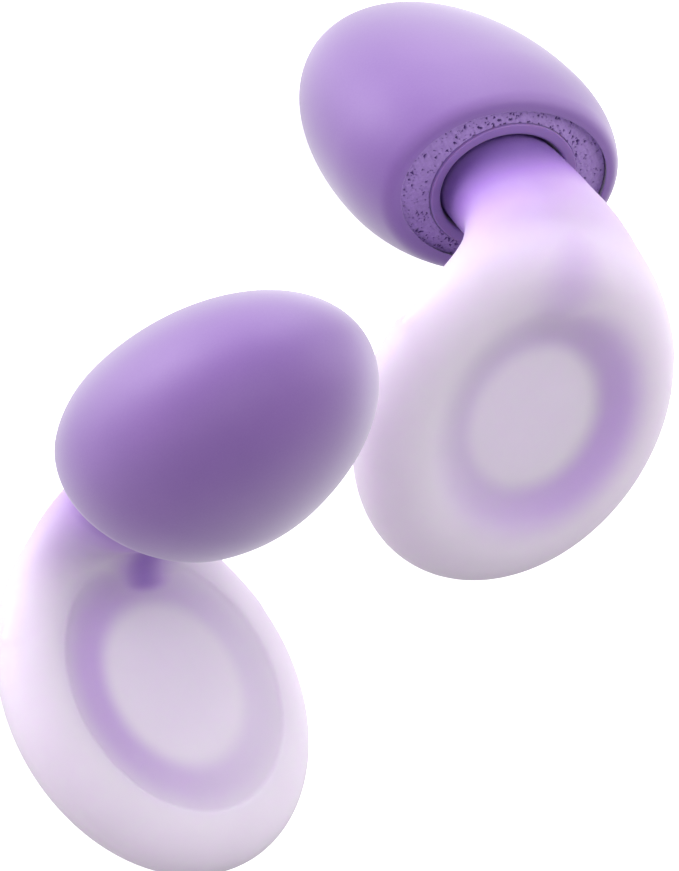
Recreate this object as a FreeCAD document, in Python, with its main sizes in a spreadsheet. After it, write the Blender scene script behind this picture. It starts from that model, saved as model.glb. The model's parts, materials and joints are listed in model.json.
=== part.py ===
import FreeCAD, Part
import math
import os
import Sketcher

# A pair of oval ear plugs lying on a surface, in millimetres, +Z up.
# Each plug is a flat finger disc in soft milky silicone over a stiffer core, whose neck bends up
# from the disc's edge and carries a pull-off oval tip: a thin skin over foam over a blind sleeve.
# A plug's own frame: origin at the disc's centre, +Z out of the face on the tip's side,
# +Y from the disc's centre towards the neck. Every plug is mirror-symmetric about X = 0.
# The tip's own frame: origin at the centre of the tip's mouth, +Z along the tip to its point.

DIMENSIONS = (
    ("disc_radius", 8.0),
    ("rim_radius", 1.55),
    ("land_width", 0.7),
    ("dish_floor_radius", 3.5),
    ("dish_floor_height", 0.92),
    ("plateau_radius", 3.9),
    ("plateau_height", 1.6),
    ("valley_radius", 5.2),
    ("valley_height", 1.25),
    ("neck_mid_height", 0.14),
    ("bend_centre", 4.82),
    ("bend_radius", 2.78),
    ("neck_lean", 8.5),
    ("neck_length", 2.72),
    ("neck_root_half_width", 6.0),
    ("neck_root_half_depth", 1.4),
    ("neck_bend_half_width", 3.75),
    ("neck_bend_half_depth", 2.1),
    ("neck_shoulder_half_width", 3.5),
    ("neck_shoulder_half_depth", 2.3),
    ("neck_half_width", 3.1),
    ("neck_half_depth", 2.4),
    ("neck_plug_depth", 1.2),
    ("ring_inner_radius", 3.7),
    ("ring_outer_radius", 6.1),
    ("ring_low", -0.4),
    ("ring_high", 0.75),
    ("ring_edge", 0.25),
    ("stem_half_width", 1.95),
    ("stem_root_half_depth", 0.5),
    ("stem_half_depth", 1.4),
    ("nozzle_length", 6.4),
    ("tip_half_width", 6.9),
    ("tip_half_depth", 4.95),
    ("tip_dome", 8.75),
    ("tip_skirt", 3.1),
    ("skirt_angle", 20.0),
    ("skin_wall", 0.7),
    ("mouth_angle", 30.4),
    ("foam_recess", 0.3),
    ("sleeve_half_width", 3.66),
    ("sleeve_half_depth", 3.0),
    ("sleeve_length", 6.4),
    ("sleeve_dome", 1.3),
    ("neck_gap", 0.13),
    ("seat_gap", 0.1),
    ("nozzle_gap", 0.05),
    ("bore_length", 6.9),
    ("right_offset_x", 21.33),
    ("right_offset_y", 9.08),
    ("right_heading", 168.7),
)

SHEET = "Dimensions"
BEND_STEPS = (0.0, 0.333, 0.667, 1.0)
NECK_STRAIGHT = 0.4
SAME = 0.001
START, END, CENTRE = 1, 2, 3
X_AXIS = FreeCAD.Vector(1, 0, 0)
Z_AXIS = FreeCAD.Vector(0, 0, 1)


def make_sheet(doc):
    """Put the driving dimensions in a spreadsheet and return them as plain numbers too."""
    sheet = doc.addObject("Spreadsheet::Sheet", SHEET)
    for row, (alias, value) in enumerate(DIMENSIONS, start=1):
        sheet.set("A%d" % row, alias)
        sheet.set("B%d" % row, str(value))
        sheet.setAlias("B%d" % row, alias)
    doc.recompute()
    return {alias: float(sheet.get(alias)) for alias, _ in DIMENSIONS}


def bind(target, **expressions):
    """Bind properties of an object to sheet expressions; a word in braces is a dimension."""
    for prop, text in expressions.items():
        target.setExpression(prop.replace("__", "."), cell(text))


def cell(text):
    return text.replace("{", SHEET + ".").replace("}", "")


def about_x(degrees):
    return FreeCAD.Rotation(X_AXIS, degrees)


def lifted(distance):
    return FreeCAD.Placement(FreeCAD.Vector(0, 0, distance), FreeCAD.Rotation())


# ---------------------------------------------------------------- turned pieces

def turned(doc, name, corners, rim=None):
    """A solid of revolution about Z from a closed outline of (radius, height) corners.

    The stretch that leaves corner number rim is a half circle bulging outwards, and every
    other stretch is a straight line. The rim's own first corner is its lower end."""
    body = doc.addObject("PartDesign::Body", name)
    plane = next(part for part in body.Origin.OriginFeatures if part.Role == "XZ_Plane")
    sketch = body.newObject("Sketcher::SketchObject", name + "_outline")
    sketch.AttachmentSupport = (plane, [""])
    sketch.MapMode = "FlatFace"
    points = [corner_point(doc, corner) for corner in corners]
    for index, start in enumerate(points):
        end = points[(index + 1) % len(points)]
        if index == rim:
            circle = Part.Circle((start + end) / 2, Z_AXIS, (end - start).Length / 2)
            sketch.addGeometry(Part.ArcOfCircle(circle, -math.pi / 2, math.pi / 2))
        else:
            sketch.addGeometry(Part.LineSegment(start, end))
    for index in range(len(corners)):
        after = (index + 1) % len(corners)
        sketch.addConstraint(Sketcher.Constraint("Coincident", index, END, after, START))
    for index, (radius, height) in enumerate(corners):
        tie_corner(sketch, "DistanceX", index, points[index].x, radius)
        tie_corner(sketch, "DistanceY", index, points[index].y, height)
    if rim is not None:
        tie_rim(sketch, rim, corners[rim][0])
    turning = body.newObject("PartDesign::Revolution", name + "_turning")
    turning.Profile = sketch
    turning.ReferenceAxis = (sketch, ["V_Axis"])
    turning.Angle = 360.0
    return body


def corner_point(doc, corner):
    """Where a corner given as two expressions lies in its sketch now."""
    radius, height = (float(doc.getObject(SHEET).evalExpression(cell(text))) for text in corner)
    return FreeCAD.Vector(radius, height, 0)


def tie_corner(sketch, kind, index, value, text):
    """Hold one coordinate of an outline corner to the sheet, measured from the origin."""
    sketch.addConstraint(Sketcher.Constraint(kind, -1, START, index, START, value))
    sketch.setExpression("Constraints[%d]" % (sketch.ConstraintCount - 1), cell(text))


def tie_rim(sketch, rim, radius):
    """Hold the half circle's centre on the radius of its ends."""
    value = sketch.Geometry[rim].Center.x
    sketch.addConstraint(Sketcher.Constraint("DistanceX", -1, START, rim, CENTRE, value))
    sketch.setExpression("Constraints[%d]" % (sketch.ConstraintCount - 1), cell(radius))


# ---------------------------------------------------------------- oval pieces

def oval(doc, name, half_width, half_depth, placement):
    """An ellipse, long along X, whose sizes are expressions."""
    ellipse = doc.addObject("Part::Ellipse", name)
    bind(ellipse, MajorRadius=half_width, MinorRadius=half_depth)
    ellipse.Placement = placement
    return ellipse


def oval_post(doc, name, half_width, half_depth, low, length, placement):
    """A straight oval post along Z of its placement, from height low upwards."""
    ellipse = oval(doc, name + "_oval", half_width, half_depth, FreeCAD.Placement())
    bind(ellipse, Placement__Base__z=low)
    post = doc.addObject("Part::Extrusion", name)
    post.Base = ellipse
    post.DirMode = "Custom"
    post.Dir = Z_AXIS
    post.Solid = True
    bind(post, LengthFwd=length)
    post.Placement = placement
    return post


def oval_cap(doc, name, half_width, half_depth, height, low_angle, high_angle, middle):
    """The part of an ellipsoid between two latitudes, its equator at height middle."""
    cap = doc.addObject("Part::Ellipsoid", name)
    bind(cap, Radius1=height, Radius2=half_width, Radius3=half_depth)
    bind(cap, Angle1=low_angle, Angle2=high_angle, Placement__Base__z=middle)
    return cap


def joined(doc, name, parts):
    fuse = doc.addObject("Part::MultiFuse", name)
    fuse.Shapes = parts
    return fuse


def cut(doc, name, base, tool):
    result = doc.addObject("Part::Cut", name)
    result.Base = base
    result.Tool = tool
    return result


# ---------------------------------------------------------------- the handle

def bend_point(dims, turn):
    """Place on the neck's mid-line after turning by this many degrees out of the disc."""
    angle = math.radians(turn)
    y = dims["bend_centre"] + dims["bend_radius"] * math.sin(angle)
    z = dims["neck_mid_height"] + dims["bend_radius"] * (1 - math.cos(angle))
    return FreeCAD.Placement(FreeCAD.Vector(0, y, z), about_x(turn - 90))


def mouth_place(dims):
    """The tip's frame in the plug's frame: the neck's end, leaning towards the apex."""
    top = bend_point(dims, 90 - dims["neck_lean"])
    return top * lifted(dims["neck_length"])


def between(first, last, part):
    """An expression part of the way from one dimension to another."""
    return "{%s} + ({%s} - {%s}) * %.3f" % (first, last, first, part)


def bent_neck(doc, dims, name, root, bend, shoulder, end):
    """An oval neck from inside the disc's rim, round the bend, to just below the tip's mouth.

    Each size is the pair of names of its half width and its half depth."""
    turn = 90 - dims["neck_lean"]
    sections = []
    for number, part in enumerate(BEND_STEPS, start=1):
        wide, deep = (between(first, last, part) for first, last in zip(root, bend))
        sections.append(oval(doc, "%s_%d" % (name, number), wide, deep, bend_point(dims, part * turn)))
    mouth = mouth_place(dims)
    middle = mouth * lifted(-dims["neck_length"] / 2)
    sections.append(oval(doc, name + "_shoulder", "{%s}" % shoulder[0], "{%s}" % shoulder[1], middle))
    sections.append(oval(doc, name + "_end", "{%s}" % end[0], "{%s}" % end[1], mouth * lifted(-NECK_STRAIGHT)))
    loft = doc.addObject("Part::Loft", name)
    loft.Sections = sections
    loft.Solid = True
    return loft


def make_core(doc, dims, side):
    """The stiff ring, its stem up the neck and the oval nozzle that carries the tip."""
    low, high, edge = "{ring_low}", "{ring_high}", "{ring_edge}"
    inner, outer = "{ring_inner_radius}", "{ring_outer_radius}"
    ring = turned(doc, side + "_ring", [
        (inner + " + " + edge, low),
        (outer + " - " + edge, low),
        (outer, low + " + " + edge),
        (outer, high + " - " + edge),
        (outer + " - " + edge, high),
        (inner + " + " + edge, high),
        (inner, high + " - " + edge),
        (inner, low + " + " + edge),
    ])
    stem_size = ("stem_half_width", "stem_half_depth")
    stem = bent_neck(
        doc, dims, side + "_stem",
        ("stem_half_width", "stem_root_half_depth"), stem_size, stem_size, stem_size,
    )
    nozzle = oval_post(
        doc, side + "_nozzle", "{stem_half_width}", "{stem_half_depth}",
        "-%.1f" % NECK_STRAIGHT, "{nozzle_length} + %.1f" % NECK_STRAIGHT, mouth_place(dims),
    )
    return joined(doc, side + "_core", [ring, stem, nozzle])


def make_handle_skin(doc, dims, side, core):
    """The milky finger disc and neck, moulded round the core."""
    flat = "{disc_radius} - {rim_radius}"
    disc = turned(doc, side + "_disc", [
        ("0", "-{dish_floor_height}"),
        ("{dish_floor_radius}", "-{dish_floor_height}"),
        (flat + " - {land_width}", "-{rim_radius}"),
        (flat, "-{rim_radius}"),
        (flat, "{rim_radius}"),
        ("{valley_radius}", "{valley_height}"),
        ("{plateau_radius}", "{plateau_height}"),
        ("0", "{plateau_height}"),
    ], rim=3)
    neck = bent_neck(
        doc, dims, side + "_neck",
        ("neck_root_half_width", "neck_root_half_depth"),
        ("neck_bend_half_width", "neck_bend_half_depth"),
        ("neck_shoulder_half_width", "neck_shoulder_half_depth"),
        ("neck_half_width", "neck_half_depth"),
    )
    plug = oval_post(
        doc, side + "_neck_plug", "{neck_half_width}", "{neck_half_depth}",
        "-%.1f" % NECK_STRAIGHT, "{neck_plug_depth} + %.1f" % NECK_STRAIGHT, mouth_place(dims),
    )
    return cut(doc, side + "_handle_skin", joined(doc, side + "_handle_block", [disc, neck, plug]), core)


# ---------------------------------------------------------------- the tip

def egg(doc, name, inset, low_angle, mouth_angle):
    """A closed egg: a half-ellipsoid dome on an ellipsoid skirt cut off flat at the mouth.

    The skirt narrows so that it meets the mouth's own plane at latitude mouth_angle, and the
    egg's flat base is at latitude low_angle. Inset is how far it lies inside the tip's outside."""
    wide, deep, dome = (size + inset for size in ("{tip_half_width}", "{tip_half_depth}", "{tip_dome}"))
    skirt_height = "{tip_skirt} / sin(%s * 1 deg)" % mouth_angle
    return joined(doc, name, [
        oval_cap(doc, name + "_dome", wide, deep, dome, "0", "90", "{tip_skirt}"),
        oval_cap(doc, name + "_skirt", wide, deep, skirt_height, "-" + low_angle, "0", "{tip_skirt}"),
    ])


def make_tip(doc, side):
    """The tip's skin, foam and sleeve, in the tip's own frame."""
    inset = " - {skin_wall}"
    recessed = "asin(({tip_skirt} - {foam_recess}) / {tip_skirt} * sin({mouth_angle} * 1 deg)) / 1 deg"
    outside = egg(doc, side + "_tip_outside", "", "{skirt_angle}", "{skirt_angle}")
    hollow = egg(doc, side + "_tip_hollow", inset, "{mouth_angle}", "{mouth_angle}")
    foam_block = egg(doc, side + "_foam_block", inset, recessed, "{mouth_angle}")
    sleeve_block = joined(doc, side + "_sleeve_block", [
        oval_post(doc, side + "_sleeve_tube", "{sleeve_half_width}", "{sleeve_half_depth}",
                  "0", "{sleeve_length}", lifted(0)),
        oval_cap(doc, side + "_sleeve_end", "{sleeve_half_width}", "{sleeve_half_depth}",
                 "{sleeve_dome}", "0", "90", "{sleeve_length}"),
    ])
    bore = joined(doc, side + "_bore", [
        oval_post(doc, side + "_neck_seat", "{neck_half_width} + {neck_gap}",
                  "{neck_half_depth} + {neck_gap}", "-{foam_recess}",
                  "{neck_plug_depth} + {seat_gap} + {foam_recess}", lifted(0)),
        oval_post(doc, side + "_nozzle_bore", "{stem_half_width} + {nozzle_gap}",
                  "{stem_half_depth} + {nozzle_gap}", "0", "{bore_length}", lifted(0)),
    ])
    return {
        "tip_skin": cut(doc, side + "_tip_skin", outside, hollow),
        "tip_foam": cut(doc, side + "_tip_foam", foam_block, sleeve_block),
        "tip_sleeve": cut(doc, side + "_tip_sleeve", sleeve_block, bore),
    }


# ---------------------------------------------------------------- the pair

def make_plug(doc, dims, side):
    """One plug's five pieces, each in its plug's or its tip's frame."""
    core = make_core(doc, dims, side)
    frame = doc.addObject("Part::Refine", side + "_core_frame")
    frame.Source = core
    pieces = {"core_frame": frame, "handle_skin": make_handle_skin(doc, dims, side, core)}
    pieces.update(make_tip(doc, side))
    return pieces


def reach(dims, tilt):
    """How far the disc's rim and the tip reach below the disc's centre at this tilt about X."""
    down = about_x(-tilt).multVec(-Z_AXIS)
    rim = (dims["disc_radius"] - dims["rim_radius"]) * abs(down.y) + dims["rim_radius"]
    seat = mouth_place(dims)
    middle = seat.multVec(FreeCAD.Vector(0, 0, dims["tip_skirt"]))
    own = seat.Rotation.inverted().multVec(down)
    tip = down.dot(middle) + math.hypot(dims["tip_half_depth"] * own.y, dims["tip_dome"] * own.z)
    return rim, tip


def resting_tilt(dims):
    """The tilt at which the far rim of the disc and the side of the tip touch together."""
    low, high = 100.0, 170.0
    while high - low > SAME:
        tilt = (low + high) / 2
        rim, tip = reach(dims, tilt)
        if tip < rim:
            low = tilt
        else:
            high = tilt
    return low


def plug_places(dims):
    """Where the plugs lie: the left one on its disc, the right one on its rim and its tip."""
    left = FreeCAD.Placement(FreeCAD.Vector(0, 0, dims["rim_radius"]), FreeCAD.Rotation())
    tilt = resting_tilt(dims)
    turn = FreeCAD.Rotation(Z_AXIS, dims["right_heading"]).multiply(about_x(tilt))
    height = max(reach(dims, tilt))
    right = FreeCAD.Placement(
        FreeCAD.Vector(dims["right_offset_x"], dims["right_offset_y"], height), turn)
    return {"left": left, "right": right}


def place_pieces(dims, plugs):
    """Put every piece in the row's frame, its origin below the middle of the pair's box."""
    places = plug_places(dims)
    for side, pieces in plugs.items():
        for kind, piece in pieces.items():
            seat = mouth_place(dims) if kind.startswith("tip") else lifted(0)
            piece.Placement = places[side] * seat
    box = FreeCAD.BoundBox()
    for pieces in plugs.values():
        for piece in pieces.values():
            box.add(piece.Shape.optimalBoundingBox())
    shift = FreeCAD.Vector(-box.Center.x, -box.Center.y, 0)
    for pieces in plugs.values():
        for piece in pieces.values():
            piece.Placement = FreeCAD.Placement(shift, FreeCAD.Rotation()) * piece.Placement
    return box, shift


def check_objects(doc):
    """Stop on any failed feature."""
    for item in doc.Objects:
        if "Invalid" in item.State or "Error" in item.State:
            raise RuntimeError("%s failed: %s" % (item.Name, item.State))


def write_pieces(plugs):
    os.makedirs("parts", exist_ok=True)
    for side, pieces in plugs.items():
        for kind, piece in pieces.items():
            piece.Label = side + "_" + kind
            shape = piece.Shape
            if shape.isNull() or not shape.isValid() or len(shape.Solids) != 1:
                raise RuntimeError("%s is not one valid solid" % piece.Label)
            shape.exportStep("parts/%s.step" % piece.Label)
            print("%-20s %8.2f mm3" % (piece.Label, shape.Volume))


def main():
    doc = FreeCAD.newDocument("ear_plugs")
    dims = make_sheet(doc)
    plugs = {side: make_plug(doc, dims, side) for side in ("left", "right")}
    doc.recompute()
    check_objects(doc)
    box, shift = place_pieces(dims, plugs)
    doc.recompute()
    check_objects(doc)
    write_pieces(plugs)
    print("box", box, "shift", shift)
    print("tilt", resting_tilt(dims), "reach", reach(dims, resting_tilt(dims)))


main()
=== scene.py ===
import json
import math
import random

import bpy
import numpy as np
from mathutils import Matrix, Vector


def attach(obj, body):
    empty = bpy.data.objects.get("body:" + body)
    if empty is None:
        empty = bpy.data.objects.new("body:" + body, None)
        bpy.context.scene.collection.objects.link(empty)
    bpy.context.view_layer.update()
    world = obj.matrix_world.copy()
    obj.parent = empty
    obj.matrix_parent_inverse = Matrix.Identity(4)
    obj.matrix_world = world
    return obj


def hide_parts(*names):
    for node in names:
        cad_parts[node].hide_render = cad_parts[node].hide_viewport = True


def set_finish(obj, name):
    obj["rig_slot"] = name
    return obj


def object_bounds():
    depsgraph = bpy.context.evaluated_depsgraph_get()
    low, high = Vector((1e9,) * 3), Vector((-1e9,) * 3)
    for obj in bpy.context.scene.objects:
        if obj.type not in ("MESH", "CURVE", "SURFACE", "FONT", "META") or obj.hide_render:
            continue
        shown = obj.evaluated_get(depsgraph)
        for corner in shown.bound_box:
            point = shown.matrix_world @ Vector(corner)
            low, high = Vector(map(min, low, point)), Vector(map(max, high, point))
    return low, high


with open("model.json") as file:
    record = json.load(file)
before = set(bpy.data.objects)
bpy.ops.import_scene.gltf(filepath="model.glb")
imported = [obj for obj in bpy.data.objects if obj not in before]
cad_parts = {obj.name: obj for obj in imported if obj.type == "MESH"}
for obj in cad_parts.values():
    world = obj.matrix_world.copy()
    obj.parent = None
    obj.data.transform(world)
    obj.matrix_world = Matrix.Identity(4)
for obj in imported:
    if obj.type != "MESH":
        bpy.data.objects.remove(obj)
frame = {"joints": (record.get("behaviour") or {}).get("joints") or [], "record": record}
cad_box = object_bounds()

import openvdb
from mathutils import Matrix, Vector

# A pair of oval ear plugs. Shapes are written in millimetres in a plug's own frame and put in
# the row's frame by each plug's placement, which comes from the frame's joints and mounts.
# Plug frame: origin at the disc's centre, +Z out of the face on the tip's side, +Y to the neck.
# Tip frame: origin at the middle of the tip's mouth, +Z along the tip to its point.
MM = 0.001

# ---- the object's own sizes, in millimetres
LEAN = math.radians(8.5)
DISC_RADIUS = 8.0
DISC_HALF = 1.55
RIM_REACH = 2.3
DISH_FLOOR = 0.92
DISH_INNER = 3.1
DISH_OUTER = 5.8
PLATEAU = 1.6
VALLEY = 1.42
VALLEY_RADIUS = 5.0
VALLEY_REACH = 2.3
BEND_CENTRE = 4.82
BEND_RADIUS = 2.78
NECK_MID = 0.14
NECK_LENGTH = 2.72
TIP_HALF_WIDTH = 6.9
TIP_HALF_DEPTH = 4.95
TIP_DOME = 8.75
TIP_SKIRT = 3.1
NECK_PLUG = 1.2
STEM_HALF = (1.95, 1.4)
NOZZLE_LENGTH = 6.4
SLEEVE = (3.66, 3.0)
NECK_SEAT = (3.23, 2.53)
BORE = (2.0, 1.45)
SLEEVE_LENGTH = 6.4
SLEEVE_DOME = 1.3
BORE_LENGTH = 6.9
SEAT_DEPTH = 1.3
FOAM_RECESS = 0.3
FOAM_FLUSH = 0.1
# the core's ring: inner and outer radius, low and high face
RING = (3.7, 6.1, -0.4, 0.75)
MOUTH_ANGLE = math.radians(30.4)
SKIN_WALL = 0.7

# ---- roundings and small gaps, in millimetres
NECK_FILLET = 0.8
BASE_EDGE = 0.12
PLUG_EDGE = 0.25
RING_EDGE = 0.3
STEM_START = -0.4
STEM_ROOT_DEPTH = 0.5
STEM_FILLET = 0.8
NOZZLE_EDGE = 0.5
SKIN_CORE_GAP = 0.02
FOAM_SKIN_GAP = 0.02
FOAM_SLEEVE_GAP = 0.03
# how far above the mouth the walls inside the skin start, as an angle of latitude
WALL_START = 0.03

# ---- how finely the meshes are cut
VOXEL = 0.14
HANDLE_BOX = ((-9, -9, -2.4), (9, 11, 8.5))
CORE_BOX = ((-7, -7, -1.2), (7, 11.5, 12.5))
TIP_AROUND = 160
SLEEVE_AROUND = 144


# ---------------------------------------------------------------- places

def about_x(angle):
    return Matrix.Rotation(angle, 4, "X")


def bend_end():
    turn = math.pi / 2 - LEAN
    y = BEND_CENTRE + BEND_RADIUS * math.sin(turn)
    z = NECK_MID + BEND_RADIUS * (1 - math.cos(turn))
    return Vector((0, y, z))


TIP_AXIS = Vector((0, math.sin(LEAN), math.cos(LEAN)))
MOUTH_POINT = bend_end() + TIP_AXIS * NECK_LENGTH
TIP_PLACE = Matrix.Translation(MOUTH_POINT) @ about_x(-LEAN)


def plug_place(side, leans_back):
    """The plug's frame in the row's frame, in metres, from its tip's joint axis and mount."""
    record = frame["record"]
    joint = next(j for j in frame["joints"] if j["name"] == side + "_tip_pull")
    mount = next(m for m in record["mounts"] if m["name"] == side + "_ear_tip")
    axis = Vector(joint["axis"])
    rise = math.acos(axis.z)
    sign = 1 if leans_back else -1
    heading = math.atan2(sign * axis.x, -sign * axis.y)
    turn = Matrix.Rotation(heading, 4, "Z") @ about_x(LEAN + sign * rise)
    apex = (MOUTH_POINT + TIP_AXIS * (TIP_SKIRT + TIP_DOME)) * MM
    return Matrix.Translation(Vector(mount["pos_m"]) - turn.to_3x3() @ apex) @ turn


PLACES = {"left": plug_place("left", False), "right": plug_place("right", True)}


def placed(points, side, tip=False):
    """Points in millimetres in a plug's or a tip's frame, as metres in the row's frame."""
    points = np.asarray(points, float)
    if tip:
        points = points @ np.array(TIP_PLACE.to_3x3()).T + np.array(TIP_PLACE.translation)
    place = PLACES[side]
    return points * MM @ np.array(place.to_3x3()).T + np.array(place.translation)


def mesh_piece(name, side, kind, points, faces, tip=False, shade=None):
    """A smooth-shaded mesh that stands for one CAD node and rides on its body."""
    mesh = bpy.data.meshes.new(name)
    mesh.from_pydata(placed(points, side, tip).tolist(), [], [list(map(int, f)) for f in faces])
    mesh.polygons.foreach_set("use_smooth", [True] * len(mesh.polygons))
    if shade is not None:
        attribute = mesh.attributes.new("shade", "FLOAT", "POINT")
        attribute.data.foreach_set("value", np.asarray(shade, np.float32))
    mesh.validate()
    piece = bpy.data.objects.new(name, mesh)
    bpy.context.scene.collection.objects.link(piece)
    node = side + "_" + kind
    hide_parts(node)
    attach(piece, body_of_node(node))
    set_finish(piece, slot_of_node(node))
    return piece


def body_of_node(node):
    bodies = frame["record"]["behaviour"]["bodies"]
    return next(body for body, members in bodies.items() if node in members)


def slot_of_node(node):
    return next(s["material_slot"] for s in frame["record"]["subparts"] if s["node"] == node)


# ---------------------------------------------------------------- smooth solids

def smooth_step(x):
    x = np.clip(x, 0, 1)
    return x * x * (3 - 2 * x)


def smooth_union(a, b, reach):
    gap = np.clip(reach - np.abs(a - b), 0, None) / reach
    return np.minimum(a, b) - gap * gap * reach / 4


def smooth_cut(a, b, reach):
    """The common part of two solids, its edge rounded."""
    return -smooth_union(-a, -b, reach)


def oval_distance(x, y, half_x, half_y):
    """Near its surface, the distance from an ellipse."""
    level = np.sqrt((x / half_x) ** 2 + (y / half_y) ** 2) + 1e-9
    slope = np.sqrt((x / half_x ** 2) ** 2 + (y / half_y ** 2) ** 2) + 1e-9
    return level * (level - 1) / slope


def polygon_distance(points, outline):
    """Signed distance of 2-D points from a closed outline, negative inside."""
    best = np.full(len(points), 1e9)
    inside = np.zeros(len(points), bool)
    for a, b in zip(outline, np.roll(outline, -1, axis=0)):
        edge = b - a
        part = np.clip(((points - a) @ edge) / (edge @ edge + 1e-12), 0, 1)
        best = np.minimum(best, np.hypot(*(points - a - part[:, None] * edge).T))
        crosses = (a[1] > points[:, 1]) != (b[1] > points[:, 1])
        at = a[0] + (points[:, 1] - a[1]) * edge[0] / (edge[1] if abs(edge[1]) > 1e-12 else 1e-12)
        inside ^= crosses & (points[:, 0] < at)
    return np.where(inside, -best, best)


def turned_distance(outline, reach, height):
    """A solid of revolution as a function of x, y, z, from a table of its section."""
    step = 0.05
    radii = np.arange(0, reach, step)
    heights = np.arange(-height, height, step)
    grid = np.stack(np.meshgrid(radii, heights, indexing="ij"), -1).reshape(-1, 2)
    mirrored = np.concatenate([outline, outline[::-1] * (-1, 1)])
    table = polygon_distance(grid, mirrored).reshape(len(radii), len(heights))

    def distance(x, y, z):
        r = np.clip(np.hypot(x, y) / step, 0, len(radii) - 1.001)
        h = np.clip((z + height) / step, 0, len(heights) - 1.001)
        i, j = r.astype(int), h.astype(int)
        u, v = r - i, h - j
        low = table[i, j] * (1 - v) + table[i, j + 1] * v
        high = table[i + 1, j] * (1 - v) + table[i + 1, j + 1] * v
        return low * (1 - u) + high * u

    return distance


def disc_section():
    """Half the section of the finger disc: dished on the outer face, a low plateau inside."""
    face = np.linspace(0, DISC_RADIUS - RIM_REACH, 80)
    low = -DISC_HALF + (DISC_HALF - DISH_FLOOR) * (
        1 - smooth_step((face - DISH_INNER) / (DISH_OUTER - DISH_INNER)))
    dip = np.clip(1 - np.abs(face - VALLEY_RADIUS) / VALLEY_REACH, 0, 1)
    base = PLATEAU + (DISC_HALF - PLATEAU) * smooth_step(face / VALLEY_RADIUS)
    high = base - (DISC_HALF - VALLEY) * smooth_step(dip)
    angle = np.linspace(-math.pi / 2, math.pi / 2, 61)[1:-1]
    rim = np.stack([
        DISC_RADIUS - RIM_REACH + RIM_REACH * np.cos(angle),
        DISC_HALF * np.sin(angle)], 1)
    return np.concatenate([
        np.stack([face, low], 1), rim, np.stack([face, high], 1)[::-1]])


def along_neck(x, y, z):
    """Distance along the neck's mid-line from the bend's start, and across it in Y-Z."""
    turn = math.pi / 2 - LEAN
    up = NECK_MID + BEND_RADIUS - z
    angle = np.arctan2(y - BEND_CENTRE, up)
    angle = np.where(angle < -math.pi / 2, angle + 2 * math.pi, angle)
    bent = BEND_RADIUS * angle
    bent_across = np.hypot(y - BEND_CENTRE, up) - BEND_RADIUS
    end = bend_end()
    rise = (y - end.y) * TIP_AXIS.y + (z - end.z) * TIP_AXIS.z
    straight_across = (y - end.y) * TIP_AXIS.z - (z - end.z) * TIP_AXIS.y
    along = np.where(angle > turn, BEND_RADIUS * turn + rise, bent)
    across = np.where(angle > turn, straight_across, bent_across)
    before = y < BEND_CENTRE
    along = np.where(before & (angle <= turn), y - BEND_CENTRE, along)
    across = np.where(before & (angle <= turn), NECK_MID - z, across)
    high = (rise > 0) & (z > end.z)
    along = np.where(high, BEND_RADIUS * turn + rise, along)
    across = np.where(high, straight_across, across)
    return along, across


BEND_LENGTH = BEND_RADIUS * (math.pi / 2 - LEAN)
MOUTH_AT = BEND_LENGTH + NECK_LENGTH
# stations along the neck: distance, half width, half depth
NECK_STATIONS = (
    (-1.3, 6.2, 0.35),
    (0.0, 5.95, 1.1),
    (BEND_LENGTH * 0.33, 5.35, 1.6),
    (BEND_LENGTH * 0.67, 4.5, 1.85),
    (BEND_LENGTH, 3.85, 2.1),
    (BEND_LENGTH + 1.4, 3.5, 2.3),
    (MOUTH_AT - 0.4, 3.15, 2.42),
    (MOUTH_AT + 0.4, 3.08, 2.38),
    (MOUTH_AT + 3.0, 3.08, 2.38),
)


def spline(at, stations, column):
    """A smooth curve through stations: cubic pieces whose slopes come from their neighbours."""
    xs = np.array([s[0] for s in stations])
    ys = np.array([s[column] for s in stations])
    slope = np.gradient(ys, xs)
    at = np.clip(at, xs[0], xs[-1])
    i = np.clip(np.searchsorted(xs, at) - 1, 0, len(xs) - 2)
    width = xs[i + 1] - xs[i]
    t = (at - xs[i]) / width
    return ((2 * t ** 3 - 3 * t ** 2 + 1) * ys[i] + (t ** 3 - 2 * t ** 2 + t) * width * slope[i]
            + (-2 * t ** 3 + 3 * t ** 2) * ys[i + 1] + (t ** 3 - t ** 2) * width * slope[i + 1])


def neck_distance(x, y, z):
    along, across = along_neck(x, y, z)
    side = oval_distance(x, across, spline(along, NECK_STATIONS, 1), spline(along, NECK_STATIONS, 2))
    start = NECK_STATIONS[0][0] - along
    return np.maximum(side, start), along


def handle_distance(x, y, z):
    disc = DISC_TABLE(x, y, z)
    neck, along = neck_distance(x, y, z)
    whole = smooth_union(disc, neck, NECK_FILLET)
    whole = smooth_cut(whole, -(z + DISC_HALF), BASE_EDGE)
    return smooth_cut(whole, along - MOUTH_AT - NECK_PLUG, PLUG_EDGE)


def core_distance(x, y, z):
    radius = np.hypot(x, y)
    inner, outer, low, high = RING
    middle, half = (inner + outer) / 2, (outer - inner) / 2
    across = np.abs(radius - middle) - half
    down = np.abs(z - (low + high) / 2) - (high - low) / 2
    ring = np.hypot(np.clip(across + RING_EDGE, 0, None), np.clip(down + RING_EDGE, 0, None)) - RING_EDGE
    ring = ring + np.minimum(np.maximum(across, down) + RING_EDGE, 0)
    along, off = along_neck(x, y, z)
    deep = STEM_ROOT_DEPTH + (STEM_HALF[1] - STEM_ROOT_DEPTH) * smooth_step(along / BEND_LENGTH)
    stem = np.maximum(oval_distance(x, off, STEM_HALF[0], deep), STEM_START - along)
    stem = smooth_cut(stem, along - MOUTH_AT - NOZZLE_LENGTH, NOZZLE_EDGE)
    return smooth_union(ring, stem, STEM_FILLET)


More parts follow.
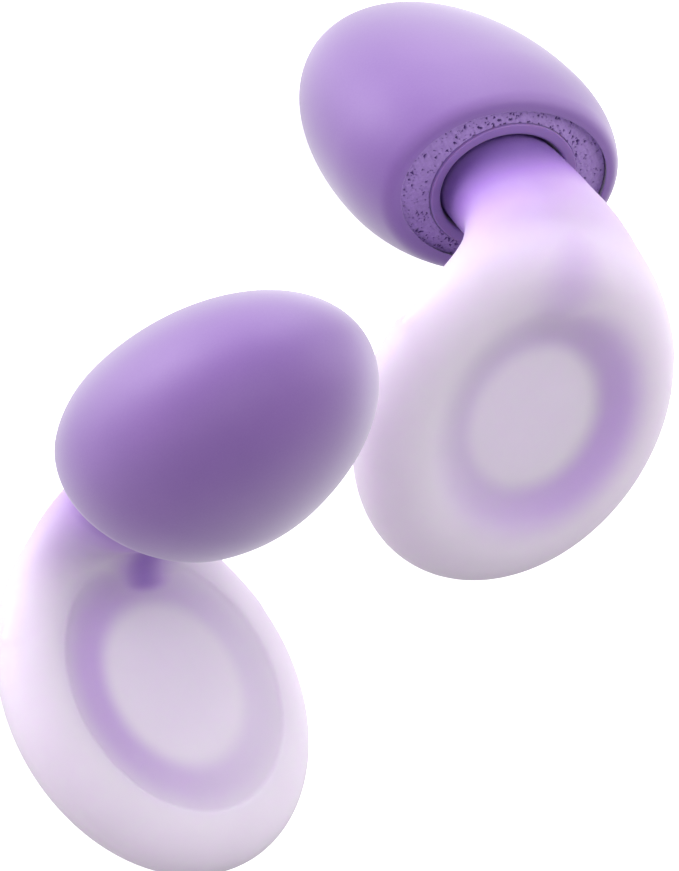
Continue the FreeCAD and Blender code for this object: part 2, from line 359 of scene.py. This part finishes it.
def solid_mesh(distance, low, high, voxel):
    """A smooth closed mesh of a solid given by its distance function."""
    low, high = np.array(low, float), np.array(high, float)
    counts = np.ceil((high - low) / voxel).astype(int)
    axes = [low[k] + voxel * np.arange(counts[k]) for k in range(3)]
    x, y, z = np.meshgrid(*axes, indexing="ij")
    values = distance(x, y, z) / voxel
    grid = openvdb.FloatGrid()
    grid.background = 3.0
    grid.copyFromArray(np.clip(values, -3, 3).astype(np.float32), ijk=(0, 0, 0))
    points, quads = grid.convertToQuads(isovalue=0.0)
    points = points * voxel + low
    step = voxel / 4
    for _ in range(3):
        normals = slope_of(distance, points, step)
        length = np.linalg.norm(normals, axis=1)[:, None]
        level = distance(*points.T)[:, None]
        points = points - np.clip(level / length, -voxel / 2, voxel / 2) * normals / length
    return points, quads[:, ::-1]


def slope_of(distance, points, step):
    x, y, z = points.T
    return np.stack([
        distance(x + step, y, z) - distance(x - step, y, z),
        distance(x, y + step, z) - distance(x, y - step, z),
        distance(x, y, z + step) - distance(x, y, z - step)], 1) / (2 * step)


DISC_TABLE = turned_distance(disc_section(), DISC_RADIUS + 3.0, 3.5)


# ---------------------------------------------------------------- ring-built solids

def ring_solid(rings, around):
    """Points and faces of a closed solid from (half_x, half_y, z) rings.

    An end ring of no size is a point."""
    turn = np.linspace(0, 2 * math.pi, around, endpoint=False)
    points, starts = [], []
    for half_x, half_y, z in rings:
        starts.append(len(points))
        if half_x < 1e-6:
            points.append((0, 0, z))
        else:
            points += list(zip(half_x * np.cos(turn), half_y * np.sin(turn), [z] * around))
    faces = []
    for k, (low, high) in enumerate(zip(rings, rings[1:])):
        a, b = starts[k], starts[k + 1]
        for i in range(around):
            j = (i + 1) % around
            if low[0] < 1e-6:
                faces.append((a, b + j, b + i))
            elif high[0] < 1e-6:
                faces.append((a + i, a + j, b))
            else:
                faces.append((a + i, a + j, b + j, b + i))
    return points, faces


def rounded(corners, pieces=7):
    """A profile through (x, z, radius) corners, each corner rounded off over that reach."""
    out = []
    count = len(corners)
    for k, (x, z, reach) in enumerate(corners):
        here = np.array((x, z))
        if reach == 0 or k in (0, count - 1):
            out.append(here)
            continue
        before = np.array(corners[k - 1][:2]) - here
        after = np.array(corners[k + 1][:2]) - here
        start = here + before / np.linalg.norm(before) * reach
        end = here + after / np.linalg.norm(after) * reach
        for t in np.linspace(0, 1, pieces):
            out.append((1 - t) ** 2 * start + 2 * t * (1 - t) * here + t ** 2 * end)
    return out


def paired_rings(wide, deep):
    """Rings from the profile along the wide axis and the profile along the deep axis."""
    return [(a[0], b[0], (a[1] + b[1]) / 2) for a, b in zip(wide, deep)]


SKIRT_HEIGHT = TIP_SKIRT / math.sin(MOUTH_ANGLE)


def egg_level(half, drop, latitude):
    """A point of the egg's profile at a latitude; below the widest ring latitude is negative."""
    height = (TIP_DOME - drop) if latitude > 0 else SKIRT_HEIGHT
    return np.array((half * math.cos(latitude), TIP_SKIRT + height * math.sin(latitude)))


def skin_profile(half):
    """The tip skin's section: up inside, over the point and down outside, round the soft mouth."""
    low = -MOUTH_ANGLE
    turned_in = math.radians(-25.0)
    inside = [
        egg_level(half - SKIN_WALL, SKIN_WALL, a)
        for a in np.linspace(math.pi / 2, low + WALL_START, 70)]
    outside = [egg_level(half, 0, a) for a in np.linspace(turned_in, math.pi / 2, 90)]
    edge = (half - SKIN_WALL) * math.cos(low)
    lip = rounded([(*inside[-1], 0), (edge, 0.0, 0.05), (edge + 0.22, 0.0, 0)])
    wall = outside[0]
    rise = outside[1] - outside[0]
    foot = wall - rise / rise[1] * wall[1]
    curve = [
        (1 - t) ** 2 * lip[-1] + 2 * t * (1 - t) * foot + t ** 2 * wall
        for t in np.linspace(0, 1, 14)]
    return inside + lip[1:-1] + curve[:-1] + outside


def make_tip_skin():
    """The thin egg-shaped skin, closed at both ends of its section by a point."""
    rings = paired_rings(skin_profile(TIP_HALF_WIDTH), skin_profile(TIP_HALF_DEPTH))
    rings[0] = (0, 0, rings[0][2])
    rings[-1] = (0, 0, rings[-1][2])
    return ring_solid(rings[::-1], TIP_AROUND)


def sleeve_profile(half, seat, bore):
    """The blind sleeve's section: down the bore, round the seat and lip, up outside, over the dome."""
    top = SLEEVE_LENGTH + SLEEVE_DOME
    dome = [
        np.array((half * math.cos(a), SLEEVE_LENGTH + SLEEVE_DOME * math.sin(a)))
        for a in np.linspace(0.0, math.pi / 2, 16)]
    walls = rounded([
        (0.0, BORE_LENGTH, 0),
        (bore, BORE_LENGTH, 0.25),
        (bore, SEAT_DEPTH, 0.12),
        (seat - 0.06, SEAT_DEPTH, 0.1),
        (seat, 0.0, 0.14),
        (half + 0.04, 0.0, 0.07),
        (half, 0.9, 0.3),
        (half, SLEEVE_LENGTH, 0)])
    dome[-1] = np.array((0.0, top))
    return walls[:-1] + dome


def make_sleeve():
    wide = sleeve_profile(SLEEVE[0], NECK_SEAT[0], BORE[0])
    deep = sleeve_profile(SLEEVE[1], NECK_SEAT[1], BORE[1])
    return ring_solid(paired_rings(wide, deep), SLEEVE_AROUND)


PORES = 480
PORE_COLUMNS = 1200
PORE_ROWS = 52
PORE_LEAST = 0.018
PORE_SPREAD = 0.036
PORE_SKEW = 2.5
PORE_DEPTH = 0.1
PORE_REACH = 0.3
GRAIN_HEIGHT = 0.011
# waves that roughen the foam's face: radians per millimetre along X and Y, and their phases
GRAIN_WAVES = ((9.1, 7.7, 0.3, 1.9), (15.3, 13.9, 2.1, 0.4), (23.7, 26.1, 4.0, 3.3))
FOAM_EDGE_SINK = 0.1
FOAM_SEED = 11


def make_foam(seed):
    """The foam with its open face full of small pits; the shade says how deep in a pit a point is, and
    darkens the pits with painted shade.
    """
    dice = random.Random(seed)
    low = math.asin((TIP_SKIRT - FOAM_RECESS) / SKIRT_HEIGHT)
    outer = [(TIP_HALF_WIDTH - SKIN_WALL) * math.cos(low) - FOAM_SKIN_GAP,
             (TIP_HALF_DEPTH - SKIN_WALL) * math.cos(low) - FOAM_SKIN_GAP]
    inner = [SLEEVE[0] + FOAM_SLEEVE_GAP, SLEEVE[1] + FOAM_SLEEVE_GAP]
    turn = np.linspace(0, 2 * math.pi, PORE_COLUMNS, endpoint=False)
    part = np.linspace(0, 1, PORE_ROWS)
    wide = inner[0] + (outer[0] - inner[0]) * part
    deep = inner[1] + (outer[1] - inner[1]) * part
    x = wide[:, None] * np.cos(turn)
    y = deep[:, None] * np.sin(turn)
    pit = np.zeros_like(x)
    for _ in range(PORES):
        at, out = dice.uniform(0, 2 * math.pi), dice.random()
        cx = (inner[0] + (outer[0] - inner[0]) * out) * math.cos(at)
        cy = (inner[1] + (outer[1] - inner[1]) * out) * math.sin(at)
        size = PORE_LEAST + PORE_SPREAD * dice.random() ** PORE_SKEW
        stretch, lean = dice.uniform(1.0, 2.2), dice.uniform(0, math.pi)
        near = (np.abs(x - cx) < PORE_REACH) & (np.abs(y - cy) < PORE_REACH)
        dx, dy = x[near] - cx, y[near] - cy
        along = (dx * math.cos(lean) + dy * math.sin(lean)) / stretch
        across = dy * math.cos(lean) - dx * math.sin(lean)
        wave = 1 + 0.25 * np.sin(3 * np.arctan2(across, along) + dice.uniform(0, 6))
        level = 1 - smooth_step((np.hypot(along, across) / (size * wave) - 0.55) / 0.75)
        pit[near] = np.maximum(pit[near], level)
    grain = sum(
        GRAIN_HEIGHT * np.sin(f * x + p) * np.sin(g * y + q)
        for f, g, p, q in GRAIN_WAVES)
    edge = np.minimum(part, 1 - part)[:, None]
    face = FOAM_FLUSH + (FOAM_RECESS - FOAM_FLUSH) * part[:, None]
    z = face + PORE_DEPTH * pit + grain * smooth_step(edge / 0.08)
    z = z + FOAM_EDGE_SINK * (1 - smooth_step(edge / 0.05))
    points = list(zip(x.ravel(), y.ravel(), z.ravel()))
    shade = list(pit.ravel())
    faces = []
    for row in range(PORE_ROWS - 1):
        for i in range(PORE_COLUMNS):
            j = (i + 1) % PORE_COLUMNS
            a, b = row * PORE_COLUMNS, (row + 1) * PORE_COLUMNS
            faces.append((a + i, b + i, b + j, a + j))
    back, shade_back, faces_back = foam_back(low, len(points))
    return points + back, faces + faces_back, shade + shade_back


def foam_back(low, first):
    """The foam's hidden sides: up along the skin to the point and down round the sleeve."""
    wall = [
        (egg_level(TIP_HALF_WIDTH - SKIN_WALL - FOAM_SKIN_GAP, SKIN_WALL + FOAM_SKIN_GAP, a)[0],
         *egg_level(TIP_HALF_DEPTH - SKIN_WALL - FOAM_SKIN_GAP, SKIN_WALL + FOAM_SKIN_GAP, a))
        for a in np.linspace(-low + WALL_START, math.pi / 2, 14)[:-1]]
    well = [
        ((SLEEVE[0] + FOAM_SLEEVE_GAP) * math.cos(a), (SLEEVE[1] + FOAM_SLEEVE_GAP) * math.cos(a),
         SLEEVE_LENGTH + (SLEEVE_DOME + FOAM_SLEEVE_GAP) * math.sin(a))
        for a in np.linspace(math.pi / 2, 0, 7)[1:]]
    turn = np.linspace(0, 2 * math.pi, PORE_COLUMNS, endpoint=False)
    points = []

    def add(ring):
        start = first + len(points)
        points.extend(zip(ring[0] * np.cos(turn), ring[1] * np.sin(turn), [ring[2]] * PORE_COLUMNS))
        return start

    def join(a, b):
        return [(a + i, b + i, b + (i + 1) % PORE_COLUMNS, a + (i + 1) % PORE_COLUMNS)
                for i in range(PORE_COLUMNS)]

    faces = []
    last = first - PORE_COLUMNS
    for ring in wall:
        start = add(ring)
        faces += join(last, start)
        last = start
    points.append((0, 0, TIP_SKIRT + TIP_DOME - SKIN_WALL - FOAM_SKIN_GAP))
    peak = first + len(points) - 1
    faces += [(last + i, peak, last + (i + 1) % PORE_COLUMNS) for i in range(PORE_COLUMNS)]
    points.append((0, 0, SLEEVE_LENGTH + SLEEVE_DOME + FOAM_SLEEVE_GAP))
    peak = first + len(points) - 1
    last = add(well[0])
    faces += [(peak, last + i, last + (i + 1) % PORE_COLUMNS) for i in range(PORE_COLUMNS)]
    for ring in well[1:]:
        start = add(ring)
        faces += join(last, start)
        last = start
    faces += join(last, 0)
    return points, [0.0] * len(points), faces


# ---------------------------------------------------------------- materials

# heights of the bumps, in metres
FINE_GRAIN = 0.00003
CELL_GRAIN = 0.00008


def new_material(name):
    made = bpy.data.materials.new(name)
    made.use_nodes = True
    return made, made.node_tree.nodes, made.node_tree.links, made.node_tree.nodes["Principled BSDF"]


def noise(nodes, links, place, scale, detail, roughness=0.55):
    made = nodes.new("ShaderNodeTexNoise")
    made.inputs["Scale"].default_value = scale
    made.inputs["Detail"].default_value = detail
    made.inputs["Roughness"].default_value = roughness
    links.new(place.outputs["Object"], made.inputs["Vector"])
    return made.outputs["Fac"]


def mapped(nodes, links, value, low, high, from_low=0.3, from_high=0.7):
    made = nodes.new("ShaderNodeMapRange")
    limits = {"From Min": from_low, "From Max": from_high, "To Min": low, "To Max": high}
    for socket, number in limits.items():
        made.inputs[socket].default_value = number
    links.new(value, made.inputs["Value"])
    return made.outputs["Result"]


def ramp(nodes, links, value, stops):
    made = nodes.new("ShaderNodeValToRGB")
    elements = made.color_ramp.elements
    while len(elements) < len(stops):
        elements.new(0.5)
    for element, (position, colour) in zip(elements, stops):
        element.position = position
        element.color = (*colour, 1)
    links.new(value, made.inputs["Fac"])
    return made.outputs["Color"]


def tinted(nodes, links, colour, value, strength):
    """The colour made slightly lighter and darker by a noise value about one half."""
    made = nodes.new("ShaderNodeHueSaturation")
    links.new(colour, made.inputs["Color"])
    links.new(mapped(nodes, links, value, 1 - strength, 1 + strength), made.inputs["Value"])
    return made.outputs["Color"]


def bumped(nodes, links, shader, heights):
    """Bumps in a chain, each (value, strength, distance in metres)."""
    last = None
    for value, strength, distance in heights:
        made = nodes.new("ShaderNodeBump")
        made.inputs["Strength"].default_value = strength
        made.inputs["Distance"].default_value = distance
        links.new(value, made.inputs["Height"])
        if last is not None:
            links.new(last, made.inputs["Normal"])
        last = made.outputs["Normal"]
    links.new(last, shader.inputs["Normal"])


def shade_value(nodes):
    made = nodes.new("ShaderNodeAttribute")
    made.attribute_name = "shade"
    return made.outputs["Fac"]


def settings(shader, **values):
    """Set constants on the shader's own sockets, each named with _ for a space."""
    for name, value in values.items():
        shader.inputs[name.replace("_", " ")].default_value = value


def milky_silicone():
    """Cloudy, soft silicone through which the violet ring inside shows, with painted shade on its neck
    and stem under the tip.
    """
    made, nodes, links, shader = new_material("milky_silicone")
    place = nodes.new("ShaderNodeTexCoord")
    cloud = noise(nodes, links, place, 260, 3)
    grain = noise(nodes, links, place, 9000, 4)
    # the shade attribute gives both the core seen through and the painted shadow of the tip
    colour = ramp(nodes, links, shade_value(nodes), MILKY_AND_SHADE_STOPS)
    links.new(tinted(nodes, links, colour, cloud, 0.02), shader.inputs["Base Color"])
    links.new(mapped(nodes, links, grain, 0.54, 0.64), shader.inputs["Roughness"])
    settings(shader, IOR=1.41, Subsurface_Weight=1.0, Subsurface_Scale=0.0018,
             Subsurface_Radius=(1.0, 0.75, 1.0))
    bumped(nodes, links, shader, [(grain, 0.05, FINE_GRAIN)])
    return made


def tip_silicone():
    """Thin violet silicone with a fine satin surface."""
    made, nodes, links, shader = new_material("tip_silicone")
    place = nodes.new("ShaderNodeTexCoord")
    cloud = noise(nodes, links, place, 180, 3)
    grain = noise(nodes, links, place, 11000, 4)
    colour = ramp(nodes, links, cloud, TIP_STOPS)
    links.new(colour, shader.inputs["Base Color"])
    links.new(mapped(nodes, links, grain, 0.54, 0.64), shader.inputs["Roughness"])
    settings(shader, IOR=1.9, Subsurface_Weight=0.2, Subsurface_Scale=0.0005,
             Subsurface_Radius=(1.0, 0.6, 1.0), Sheen_Weight=0.75, Sheen_Roughness=0.55)
    bumped(nodes, links, shader, [(grain, 0.06, FINE_GRAIN)])
    return made


def sleeve_silicone():
    """The sleeve's violet silicone, smoother than the tip's skin."""
    made, nodes, links, shader = new_material("sleeve_silicone")
    place = nodes.new("ShaderNodeTexCoord")
    cloud = noise(nodes, links, place, 300, 2)
    grain = noise(nodes, links, place, 12000, 3)
    links.new(ramp(nodes, links, cloud, SLEEVE_STOPS), shader.inputs["Base Color"])
    links.new(mapped(nodes, links, grain, 0.42, 0.52), shader.inputs["Roughness"])
    settings(shader, IOR=1.41, Subsurface_Weight=0.2, Subsurface_Scale=0.0005, Sheen_Weight=0.3,
             Sheen_Roughness=0.4, Sheen_Tint=(0.93, 0.88, 1.0, 1))
    bumped(nodes, links, shader, [(grain, 0.05, FINE_GRAIN)])
    return made


def tip_foam():
    """Fine-celled foam: a grain all over, and painted shade darkening the pits where the shade says."""
    made, nodes, links, shader = new_material("tip_foam")
    place = nodes.new("ShaderNodeTexCoord")
    cells = noise(nodes, links, place, 5200, 5, 0.7)
    patch = noise(nodes, links, place, 700, 2)
    body = ramp(nodes, links, cells, FOAM_STOPS)
    body = tinted(nodes, links, body, patch, 0.06)
    # painted shade: each pit is darkened by how deep in it a point is
    pit = ramp(nodes, links, shade_value(nodes), ((0.1, (1, 1, 1)), (0.8, PIT_PAINTED_SHADE)))
    both = nodes.new("ShaderNodeMix")
    both.data_type = "RGBA"
    both.blend_type = "MULTIPLY"
    both.inputs["Factor"].default_value = 1.0
    links.new(body, both.inputs["A"])
    links.new(pit, both.inputs["B"])
    links.new(both.outputs["Result"], shader.inputs["Base Color"])
    links.new(mapped(nodes, links, cells, 0.75, 0.95), shader.inputs["Roughness"])
    settings(shader, IOR=1.35, Sheen_Weight=0.2, Sheen_Roughness=0.6)
    bumped(nodes, links, shader, [(cells, 0.45, CELL_GRAIN)])
    return made


def core_polymer():
    """The firm violet ring and nozzle, moulded with a fine matt spark finish."""
    made, nodes, links, shader = new_material("core_polymer")
    place = nodes.new("ShaderNodeTexCoord")
    spark = noise(nodes, links, place, 7000, 3, 0.65)
    cloud = noise(nodes, links, place, 300, 2)
    links.new(ramp(nodes, links, cloud, CORE_STOPS), shader.inputs["Base Color"])
    links.new(mapped(nodes, links, spark, 0.38, 0.5), shader.inputs["Roughness"])
    settings(shader, IOR=1.49)
    bumped(nodes, links, shader, [(spark, 0.12, FINE_GRAIN)])
    return made


# the skin's own colour at 0, the ring seen through at 0.5, and deeper violets towards 1 for the stem and
# neck, partly seen through and partly painted shadow of the tip
MILKY_AND_SHADE_STOPS = (
    (0.0, (0.74, 0.66, 0.79)),
    (0.5, (0.54, 0.38, 0.72)),
    (0.8, (0.34, 0.19, 0.58)),
    (1.0, (0.16, 0.08, 0.32)))
TIP_STOPS = ((0.35, (0.17, 0.045, 0.35)), (0.65, (0.19, 0.055, 0.37)))
SLEEVE_STOPS = ((0.35, (0.28, 0.16, 0.46)), (0.65, (0.30, 0.17, 0.48)))
FOAM_STOPS = ((0.3, (0.30, 0.18, 0.48)), (0.7, (0.40, 0.26, 0.60)))
CORE_STOPS = ((0.35, (0.26, 0.15, 0.47)), (0.65, (0.29, 0.17, 0.51)))
# painted shade in the foam's pits
PIT_PAINTED_SHADE = (0.22, 0.12, 0.34)


# ---------------------------------------------------------------- the pieces

# painted shade: where round each disc the ring is painted darkest, as the light falls on that plug, and
# how far it shifts inwards on the opposite side
RING_PAINTED_SIDE = {"left": (math.radians(170), 0.0), "right": (math.radians(190), 0.9)}
RING_CENTRE = 4.5
# how much weaker the ring's painted shade is on the side away from its darkest
RING_FADE = 0.6
# the stem's band: the stem seen through the skin together with painted shadow under the tip
STEM_MIDDLE = 0.4
STEM_SPREAD = 1.6
STEM_AND_SHADOW_STRENGTH = 1.6
# the neck's painted shadow by the tip's mouth, over the stem seen through
NECK_STEM_AND_SHADOW_STRENGTH = 2.0
# where each darkening starts to change and over what width, in millimetres: the ring seen through across
# the ring, then the stem and the painted shadows along the neck, and last across the neck
RING_RISE = (-1.35, 1.1)
RING_FALL = (0.1, 1.9)
RING_END = (0.3, 1.8)
STEM_RISE = (-1.2, 1.0)
NECK_RISE = (0.2, 6.0)
NECK_CLOSES = (3.4, 2.8)
NECK_SIDE = (-3.5, 5.0)


def fade(value, span):
    """From 0 at the span's start to 1 past its width."""
    start, width = span
    return smooth_step((value - start) / width)


def core_and_painted_shade(points, side):
    """How strongly the core inside shows at each point of the milky skin, with painted shade added:
    painted shadow of the tip over the stem and neck, and each ring painted darker on one side.

    It is 0.5 where the ring shows most, and 1 in the neck near the mouth."""
    x, y, z = points.T
    # painted shade: the ring is painted darker on one side of each disc, as the light falls on that plug
    nearest, off_centre = RING_PAINTED_SIDE[side]
    lean = (1 - np.cos(np.arctan2(y, x) - nearest)) / 2
    radius = np.hypot(x, y) - RING_CENTRE + off_centre * lean
    ring = fade(radius, RING_RISE) * (1 - fade(radius, RING_FALL))
    along, across = along_neck(x, y, z)
    ring = ring * (1 - RING_FADE * lean) * (1 - fade(along, RING_END))
    # painted shadow under the tip: the stem's band is stronger on the inner side of the bend, below the
    # tip
    shadowed_side = 0.35 + 0.65 * smooth_step((0.4 - across) / 1.2)
    stem = STEM_AND_SHADOW_STRENGTH * np.exp(-((x - STEM_MIDDLE) / STEM_SPREAD) ** 2)
    stem = stem * fade(along, STEM_RISE) * shadowed_side
    # painted shadow of the tip's mouth: the neck darkens towards the mouth, on one side first and then
    # all round
    neck_shadow_side = 0.5 + 0.5 * fade(x, NECK_SIDE)
    neck_shadow_side += (1 - neck_shadow_side) * fade(along, NECK_CLOSES)
    neck = NECK_STEM_AND_SHADOW_STRENGTH * fade(along, NECK_RISE) * neck_shadow_side
    return np.maximum(ring, np.maximum(stem, neck)) / 2


def build():
    """Make every piece of both plugs, each with its material."""
    makers = {
        "milky_silicone": milky_silicone(),
        "core_polymer": core_polymer(),
        "tip_foam": tip_foam(),
        "tip_silicone": tip_silicone(),
        "sleeve_silicone": sleeve_silicone(),
    }

    def skin_distance(x, y, z):
        return np.maximum(handle_distance(x, y, z), SKIN_CORE_GAP - core_distance(x, y, z))

    handle, handle_faces = solid_mesh(skin_distance, *HANDLE_BOX, VOXEL)
    core, core_faces = solid_mesh(core_distance, *CORE_BOX, VOXEL)
    skin, skin_faces = make_tip_skin()
    sleeve, sleeve_faces = make_sleeve()
    for number, side in enumerate(("left", "right")):
        foam, foam_faces, pits = make_foam(FOAM_SEED + number)
        made = [
            mesh_piece(side + "_skin", side, "handle_skin", handle, handle_faces,
                       shade=core_and_painted_shade(handle, side)),
            mesh_piece(side + "_core", side, "core_frame", core, core_faces),
            mesh_piece(side + "_tip", side, "tip_skin", skin, skin_faces, tip=True),
            mesh_piece(side + "_sleeve", side, "tip_sleeve", sleeve, sleeve_faces, tip=True),
            mesh_piece(side + "_foam", side, "tip_foam", foam, foam_faces, tip=True, shade=pits),
        ]
        for piece in made:
            piece.data.materials.append(makers[piece["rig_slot"]])


# ---------------------------------------------------------------- camera, light and floor

# angles in degrees; the frame's height, and the aim right of and above the box's middle, in millimetres
VIEW_AZIMUTH = 197.2
VIEW_ELEVATION = 44.2
VIEW_ROLL = 58.2
VIEW_HEIGHT = 36.7
VIEW_OFFSET = (-1.65, -2.4)
LENS = 1200
SENSOR = 36


def view_axes():
    """The camera's right, up and back, from where it stands round the pair and how it is rolled."""
    azimuth, elevation = math.radians(VIEW_AZIMUTH), math.radians(VIEW_ELEVATION)
    back = Vector((
        math.cos(elevation) * math.cos(azimuth),
        math.cos(elevation) * math.sin(azimuth),
        math.sin(elevation)))
    level = Vector((-math.sin(azimuth), math.cos(azimuth), 0))
    right = Matrix.Rotation(math.radians(VIEW_ROLL), 3, back) @ level
    return right, back.cross(right), back


def set_camera():
    """A long lens that looks at the middle of the pair's box, with the pair set a little off centre."""
    data = bpy.data.cameras.new("camera")
    data.sensor_width = SENSOR
    data.lens = LENS
    away = VIEW_HEIGHT * MM * LENS / data.sensor_width
    right, up, back = view_axes()
    aim = (cad_box[0] + cad_box[1]) / 2 + (right * VIEW_OFFSET[0] + up * VIEW_OFFSET[1]) * MM
    camera = bpy.data.objects.new("camera", data)
    turn = Matrix((right, up, back)).transposed()
    camera.matrix_world = Matrix.Translation(aim + back * away) @ turn.to_4x4()
    data.clip_start = away / 50
    data.clip_end = away * 20
    bpy.context.scene.collection.objects.link(camera)
    bpy.context.scene.camera = camera
    return aim


# name, degrees anticlockwise round the view from its right, degrees forward of the pair, watts
LIGHTS = (
    ("key", 138, 15, 0.15),
    ("top", 75, 10, 0.09),
    ("right", 15, 10, 0.08),
    ("front", 320, 75, 0.04),
    ("back_right", 0, -45, 0.08),
)
# the discs' width and distance in millimetres, and the surround's strength at its two ends
LIGHT_WIDTH = 120
LIGHT_DISTANCE = 160
SURROUND_DARK = 0.35
SURROUND_BRIGHT = 0.85
# the floor's half width, in metres
FLOOR_HALF = 3.0


def from_view(around, forward):
    """The direction these many degrees round the view from its right, and forward of the pair."""
    right, up, back = view_axes()
    around, forward = math.radians(around), math.radians(forward)
    sideways = right * math.cos(around) + up * math.sin(around)
    return sideways * math.cos(forward) + back * math.sin(forward)


def set_surround():
    """A pale room that is brightest on the key's side; seen directly it is white all round."""
    world = bpy.data.worlds.new("studio")
    world.use_nodes = True
    nodes, links = world.node_tree.nodes, world.node_tree.links
    place = nodes.new("ShaderNodeTexCoord")
    along = nodes.new("ShaderNodeVectorMath")
    along.operation = "DOT_PRODUCT"
    along.inputs[1].default_value = from_view(*LIGHTS[0][1:3])
    links.new(place.outputs["Generated"], along.inputs[0])
    glow = mapped(nodes, links, along.outputs["Value"], SURROUND_DARK, SURROUND_BRIGHT, -0.6, 0.2)
    seen = nodes.new("ShaderNodeMath")
    seen.operation = "MAXIMUM"
    links.new(nodes.new("ShaderNodeLightPath").outputs["Is Camera Ray"], seen.inputs[0])
    links.new(glow, seen.inputs[1])
    links.new(seen.outputs["Value"], nodes["Background"].inputs["Strength"])
    nodes["Background"].inputs["Color"].default_value = (1, 1, 1, 1)
    bpy.context.scene.world = world
    bpy.context.scene.view_settings.view_transform = "Standard"


def set_lights(aim):
    """Large white discs round the pair: the key, top, right, a weak front one and one behind."""
    for name, around, forward, watts in LIGHTS:
        data = bpy.data.lights.new(name, "AREA")
        data.shape = "DISK"
        data.size = LIGHT_WIDTH * MM
        data.energy = watts
        way = from_view(around, forward)
        lamp = bpy.data.objects.new(name, data)
        lamp.location = aim + way * LIGHT_DISTANCE * MM
        lamp.rotation_euler = way.to_track_quat("Z", "Y").to_euler()
        lamp.visible_camera = False
        bpy.context.scene.collection.objects.link(lamp)


def set_floor():
    """A pale floor that only the camera sees, so it lights and shades nothing."""
    mesh = bpy.data.meshes.new("floor")
    half = FLOOR_HALF
    low = cad_box[0].z
    mesh.from_pydata([(-half, -half, low), (half, -half, low), (half, half, low), (-half, half, low)],
                     [], [(0, 1, 2, 3)])
    floor = bpy.data.objects.new("floor", mesh)
    bpy.context.scene.collection.objects.link(floor)
    made, nodes, links, shader = new_material("floor")
    settings(shader, Base_Color=(0.9, 0.9, 0.9, 1), Roughness=0.9, Emission_Color=(1, 1, 1, 1),
             Emission_Strength=0.9)
    mesh.materials.append(made)
    floor.visible_diffuse = False
    floor.visible_glossy = False
    floor.visible_transmission = False
    floor.visible_shadow = False


build()
view_aim = set_camera()
set_lights(view_aim)
set_surround()
set_floor()
